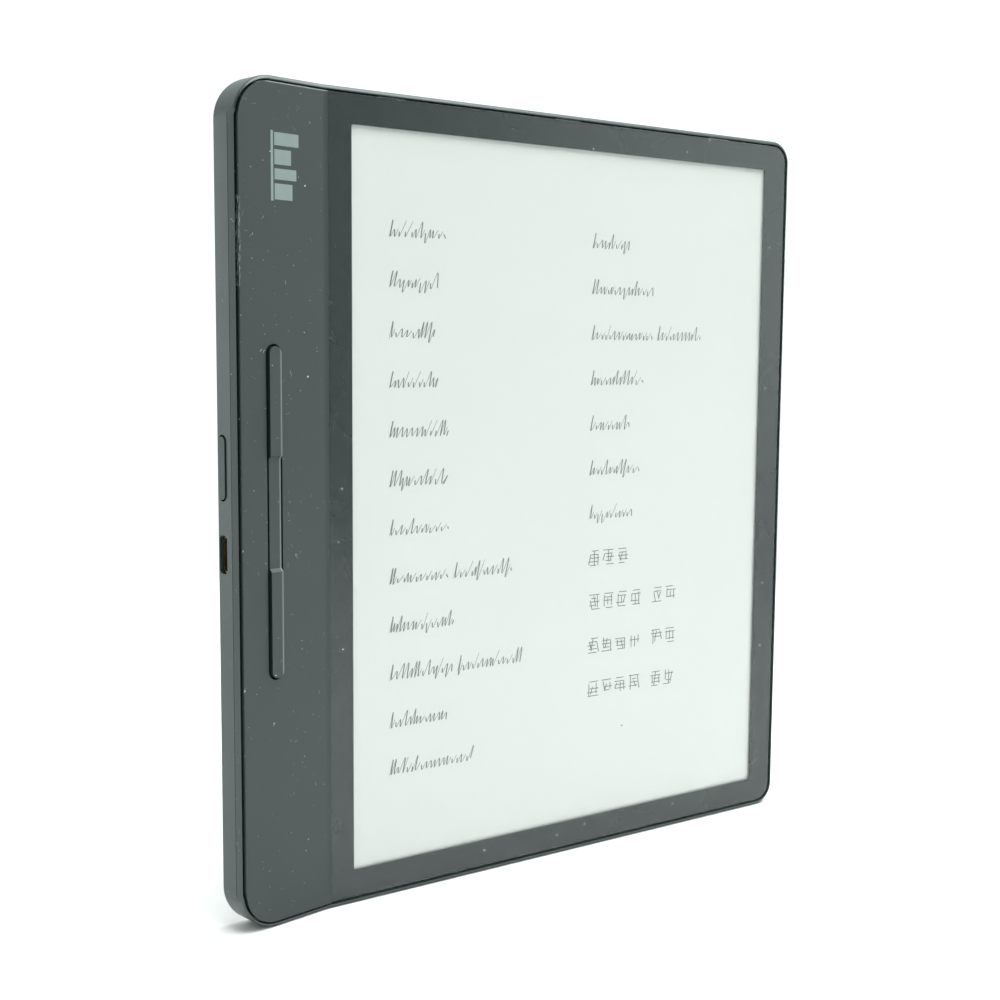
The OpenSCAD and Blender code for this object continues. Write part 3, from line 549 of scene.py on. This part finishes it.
    def leads(self):
        """Silicone wire insulation, black, yellow and red from the lowest lead up."""
        wires, tree, shader, mm, _ = finish(
            "Silicone wire insulation", linear("#a02020"), 0.5, ior=1.41)
        low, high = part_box("battery_leads")
        third = (high.z - low.z) / 3
        up = add(tree, "ShaderNodeSeparateXYZ", {"Vector": mm}).outputs["Z"]
        level = add(tree, "ShaderNodeMapRange", {
            "Value": up, "From Min": low.z / MM, "From Max": high.z / MM})
        bands = add(tree, "ShaderNodeValToRGB", {"Fac": level.outputs["Result"]})
        ramp = bands.color_ramp
        ramp.interpolation = "CONSTANT"
        ramp.elements[0].color = (*linear("#1a1a1c"), 1)
        ramp.elements[1].position = 2 * third / (high.z - low.z)
        ramp.elements[1].color = (*linear("#b0221c"), 1)
        middle = ramp.elements.new(third / (high.z - low.z))
        middle.color = (*linear("#d8b52c"), 1)
        tree.links.new(bands.outputs["Color"], shader.inputs["Base Color"])
        coat(wires, "battery_leads")


# ---------- New pieces ----------

def film(mesh, name, material, body):
    """Makes a finished piece of a bmesh and lets it ride on a body."""
    bmesh.ops.recalc_face_normals(mesh, faces=mesh.faces)
    data = bpy.data.meshes.new(name)
    mesh.to_mesh(data)
    mesh.free()
    data.materials.append(material)
    piece = bpy.data.objects.new(name, data)
    bpy.context.scene.collection.objects.link(piece)
    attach(piece, body)
    return piece


def bar_between(mesh, start, end, width, place):
    """A thin flat bar from start to end, points of (x, z), laid on a plane.

    place turns (x, depth, z) into the row frame, and the film is 0.01 mm thick.
    """
    run = end - start
    turn = Matrix.Rotation(-math.atan2(run.y, run.x), 4, "Y")
    middle = (start + end) / 2
    bmesh.ops.create_cube(mesh, size=1, matrix=(
        place @ Matrix.Translation((middle.x, 0, middle.y)) @ turn
        @ Matrix.Diagonal((run.length, 0.01 * MM, width, 1))))


class READER_OT_page(bpy.types.Operator):
    """Draw two columns of leaning squiggles and square marks on the page, with no lettering"""

    bl_idname = "reader.page"
    bl_label = "Page marks"

    # Length of each line in millimetres, as one or two words
    first_column = ((14.4,), (12.3,), (11.2,), (11.9,), (14.9,), (14.1,), (15.3,),
                    (15.3, 16.0), (16.5,), (16.5, 17.6), (15.0,), (21.7,))
    second_column = ((11.1,), (19.1,), (19.1, 14.2), (16.4,), (12.1,), (15.6,), (13.5,))
    # Lines of square marks under the second column: how many in each word
    square_lines = ((3,), (4, 2), (4, 2), (4, 2))

    def execute(self, context):
        page = context.scene.reader_page
        mesh = bmesh.new()
        place = Matrix.Translation(PAGE_CENTRE - Vector((0, 0.008 * MM, 0)))
        chance = random.Random(4)
        first_row = Vector((-51.5 * MM, 58.4 * MM))
        for i, words in enumerate(self.first_column[:page.rows]):
            self.line(mesh, place, page, first_row - Vector((0, i * page.row_pitch)), words, chance)
        column = first_row + Vector((56.2 * MM, 0.15 * MM))
        rows = page.rows - 1
        for i, words in enumerate(self.second_column[:rows]):
            self.line(mesh, place, page, column - Vector((0, i * page.row_pitch)), words, chance)
        for i, words in enumerate(self.square_lines[:max(0, rows - 7)]):
            self.squares(mesh, place, page, column - Vector((0, (i + 7) * page.row_pitch)),
                         words, chance)
        # A single dot near the bottom of the page
        bar_between(mesh, Vector((15.9 * MM, -59.9 * MM)), Vector((16.5 * MM, -59.9 * MM)),
                    page.stroke, place)
        # Carbon-black capsules seen through the clear layers
        ink, *_ = finish("E-paper black capsules", page.ink, 0.6, ior=1.5,
                         drift=0.1, drift_mm=1.0, grain_mm=0.35, grain_depth=0.001)
        marks = film(mesh, "page_marks", ink, "body")
        return {"FINISHED"}

    def line(self, mesh, place, page, start, words, chance):
        """Words drawn as one leaning squiggle that breaks off now and then."""
        low = page.low_height
        x = start.x
        for length in words:
            end = x + length * MM
            run = [Vector((x, 0)), Vector((x, 1.6 * low))]
            while run[-1].x < end - 0.4 * low:
                down = run[-1] + Vector((chance.uniform(0.06, 0.22) * low, 0))
                down.y = -0.42 * low if chance.random() < 0.08 else chance.uniform(0, 0.12) * low
                run.append(down)
                high = chance.uniform(0.72, 1.02) if chance.random() < 0.8 else 1.6
                run.append(Vector((down.x + chance.uniform(0.18, 0.46) * low, high * low)))
                if chance.random() < 0.34:
                    self.squiggle(mesh, place, page, start.y, run)
                    run = [run[-1] + Vector((0.18 * low, (0.55 - high) * low))]
            run.append(Vector((end, chance.uniform(0, 0.3) * low)))
            self.squiggle(mesh, place, page, start.y, run)
            x = end + 1.7 * MM

    def squiggle(self, mesh, place, page, base, run):
        """A rounded line through points, leaning, heavy on its way down and fine on its way up."""
        ends = [2 * run[0] - run[1]] + run + [2 * run[-1] - run[-2]]
        path = []
        for before, first, last, after in zip(ends, ends[1:], ends[2:], ends[3:]):
            for t in (0, 0.25, 0.5, 0.75):
                path.append(0.5 * (2 * first + (last - before) * t
                                   + (2 * before - 5 * first + 4 * last - after) * t * t
                                   + (3 * first - before - 3 * last + after) * t ** 3))
        path.append(run[-1])
        lean = [Vector((p.x + 0.26 * p.y, base + p.y)) for p in path]
        for first, last in zip(lean, lean[1:]):
            heavy = 1.0 if last.y < first.y - 0.1 * MM else 0.42
            bar_between(mesh, first, last, page.stroke * heavy, place)

    def squares(self, mesh, place, page, start, words, chance):
        """Dense square marks of level, upright and slanted strokes that chance lays out."""
        side = 3.8 * MM
        pitch = 4.45 * MM
        x = start.x
        for count in words:
            for i in range(count):
                corner = Vector((x + i * pitch, start.y - 0.5 * MM))
                for level in (0.02, 0.26, 0.5, 0.72, 0.96):
                    if chance.random() < 0.78:
                        left, right = chance.uniform(0, 0.34), chance.uniform(0.66, 1.0)
                        bar_between(mesh, corner + Vector((left, level)) * side,
                                    corner + Vector((right, level)) * side,
                                    page.stroke * 0.7, place)
                for across in (0.2, 0.5, 0.8):
                    foot, top = chance.uniform(0, 0.3), chance.uniform(0.6, 1.0)
                    slant = chance.choice((0, 0, -0.16, 0.16))
                    bar_between(mesh, corner + Vector((across + slant, foot)) * side,
                                corner + Vector((across, top)) * side,
                                page.stroke * 0.85, place)
            x += count * pitch + 2.8 * MM


class READER_OT_grip_mark(bpy.types.Operator):
    """Print a plain mark of books on a shelf on the grip"""

    bl_idname = "reader.grip_mark"
    bl_label = "Grip mark"

    # Height and width of each book, in millimetres, from the top of the grip down
    books = ((6.6, 2.6), (4.7, 3.0), (6.0, 2.2), (5.0, 3.2))

    def execute(self, context):
        look = context.scene.reader_finish
        mesh = bmesh.new()
        # The grip's frame: x across the grip, y into it, z up, from the bar's middle
        turn = Matrix((ACROSS_GRIP, INTO_GRIP, Vector((0, 0, 1)))).transposed().to_4x4()
        place = Matrix.Translation(BAR_CENTRE - 0.012 * MM * INTO_GRIP) @ turn
        z = 77.6 * MM
        for height, width in self.books:
            bar_between(mesh, Vector((0.6 * MM, z - width * MM / 2)),
                        Vector((height * MM, z - width * MM / 2)), width * MM, place)
            z -= (width + 0.8) * MM
        # The shelf under the books
        bar_between(mesh, Vector((0, 77.9 * MM)), Vector((0, z + 0.5 * MM)), 0.6 * MM, place)
        # Pad-printed ink: thin, matte and slightly uneven
        ink, *_ = finish("Pad-printed grey ink", look.print_grey, 0.5, ior=1.5,
                         drift=0.06, drift_mm=2.5, grain_mm=0.45, grain_depth=0.004)
        mark = film(mesh, "grip_mark", ink, "body")
        return {"FINISHED"}


# ---------- Stage ----------

class READER_OT_stage(bpy.types.Operator):
    """Set up the floor, the white surround, the lamps and the camera"""

    bl_idname = "reader.stage"
    bl_label = "Stage"

    def execute(self, context):
        scene = context.scene
        stage = scene.reader_stage
        scene.view_settings.view_transform = "Standard"

        mesh = bmesh.new()
        bmesh.ops.create_circle(mesh, cap_ends=True, segments=64, radius=0.45)
        data = bpy.data.meshes.new("floor")
        mesh.to_mesh(data)
        mesh.free()
        # Matt painted board
        data.materials.append(finish("Matt white paint", stage.floor, 0.8, ior=1.5,
                                     drift=0.005, drift_mm=200, grain_mm=2)[0])
        floor = bpy.data.objects.new("floor", data)
        scene.collection.objects.link(floor)

        world = bpy.data.worlds.new("White surround")
        world.use_nodes = True
        tree = world.node_tree
        tree.nodes.clear()
        # The backdrop is white all round, and the room behind the camera lights less
        ahead = add(tree, "ShaderNodeVectorMath", {
            0: add(tree, "ShaderNodeTexCoord").outputs["Generated"],
            1: (0.57, 0.82, 0.0)}, operation="DOT_PRODUCT").outputs["Value"]
        level = add(tree, "ShaderNodeMapRange", {
            "Value": ahead, "From Min": -0.6, "From Max": 0.0,
            "To Min": stage.room, "To Max": stage.sky}, interpolation_type="SMOOTHSTEP")
        seen = add(tree, "ShaderNodeLightPath").outputs["Is Camera Ray"]
        strength = add(tree, "ShaderNodeMix", {
            "Factor": seen, "A": level.outputs["Result"], "B": stage.sky})
        light = add(tree, "ShaderNodeBackground", {
            "Color": (*stage.light_tint, 1), "Strength": strength.outputs["Result"]})
        add(tree, "ShaderNodeOutputWorld", {"Surface": light.outputs["Background"]})
        scene.world = world

        middle = Vector(stage.camera_aim)
        self.lamp(scene, "Key", Vector((0.15, -0.2, 0.85)), middle, stage.key, 0.7)
        self.lamp(scene, "Right", Vector((1.1, -0.85, 0.34)), middle, stage.side, 0.8)
        self.lamp(scene, "Back", Vector((-0.9, 1.1, 0.02)), middle, stage.back, 0.9)
        self.lamp(scene, "Edge", Vector((1.2, 0.12, 0.12)), middle, stage.rim, 0.3)

        camera = bpy.data.objects.new("Camera", bpy.data.cameras.new("Camera"))
        camera.data.lens = stage.lens
        camera.data.clip_start = 0.01
        place = Vector(stage.camera_place)
        camera.location = place
        camera.rotation_euler = (
            (middle - place).to_track_quat("-Z", "Y")
            @ Quaternion((0, 0, 1), stage.camera_roll)).to_euler()
        scene.collection.objects.link(camera)
        scene.camera = camera
        return {"FINISHED"}

    def lamp(self, scene, name, place, aim, power, size):
        """A square soft lamp that faces a point."""
        data = bpy.data.lights.new(name, "AREA")
        data.energy = power
        data.color = scene.reader_stage.light_tint
        data.size = size
        lamp = bpy.data.objects.new(name, data)
        lamp.location = place
        lamp.rotation_euler = (aim - place).to_track_quat("-Z", "Y").to_euler()
        lamp.visible_camera = False
        scene.collection.objects.link(lamp)


# ---------- Panel ----------

OPERATORS = (READER_OT_housing, READER_OT_display, READER_OT_insides,
             READER_OT_page, READER_OT_grip_mark, READER_OT_stage)


class READER_PT_maker(bpy.types.Panel):
    """The e-reader's settings and the steps that make it"""

    bl_idname = "READER_PT_maker"
    bl_label = "E-reader Maker"
    bl_space_type = "VIEW_3D"
    bl_region_type = "UI"
    bl_category = "E-reader"

    def draw(self, context):
        for group in (context.scene.reader_finish, context.scene.reader_page,
                      context.scene.reader_stage):
            box = self.layout.box()
            for name in group.__annotations__:
                box.prop(group, name)
        for operator in OPERATORS:
            self.layout.operator(operator.bl_idname)


CLASSES = (READER_PG_finish, READER_PG_page, READER_PG_stage, *OPERATORS, READER_PT_maker)


def register():
    for cls in CLASSES:
        bpy.utils.register_class(cls)
    bpy.types.Scene.reader_finish = PointerProperty(type=READER_PG_finish)
    bpy.types.Scene.reader_page = PointerProperty(type=READER_PG_page)
    bpy.types.Scene.reader_stage = PointerProperty(type=READER_PG_stage)


def unregister():
    del bpy.types.Scene.reader_stage
    del bpy.types.Scene.reader_page
    del bpy.types.Scene.reader_finish
    for cls in reversed(CLASSES):
        bpy.utils.unregister_class(cls)


def main():
    register()
    for step in (bpy.ops.reader.housing, bpy.ops.reader.display, bpy.ops.reader.insides,
                 bpy.ops.reader.page, bpy.ops.reader.grip_mark, bpy.ops.reader.stage):
        step()
    bpy.context.view_layer.update()


if __name__ == "__main__":
    main()
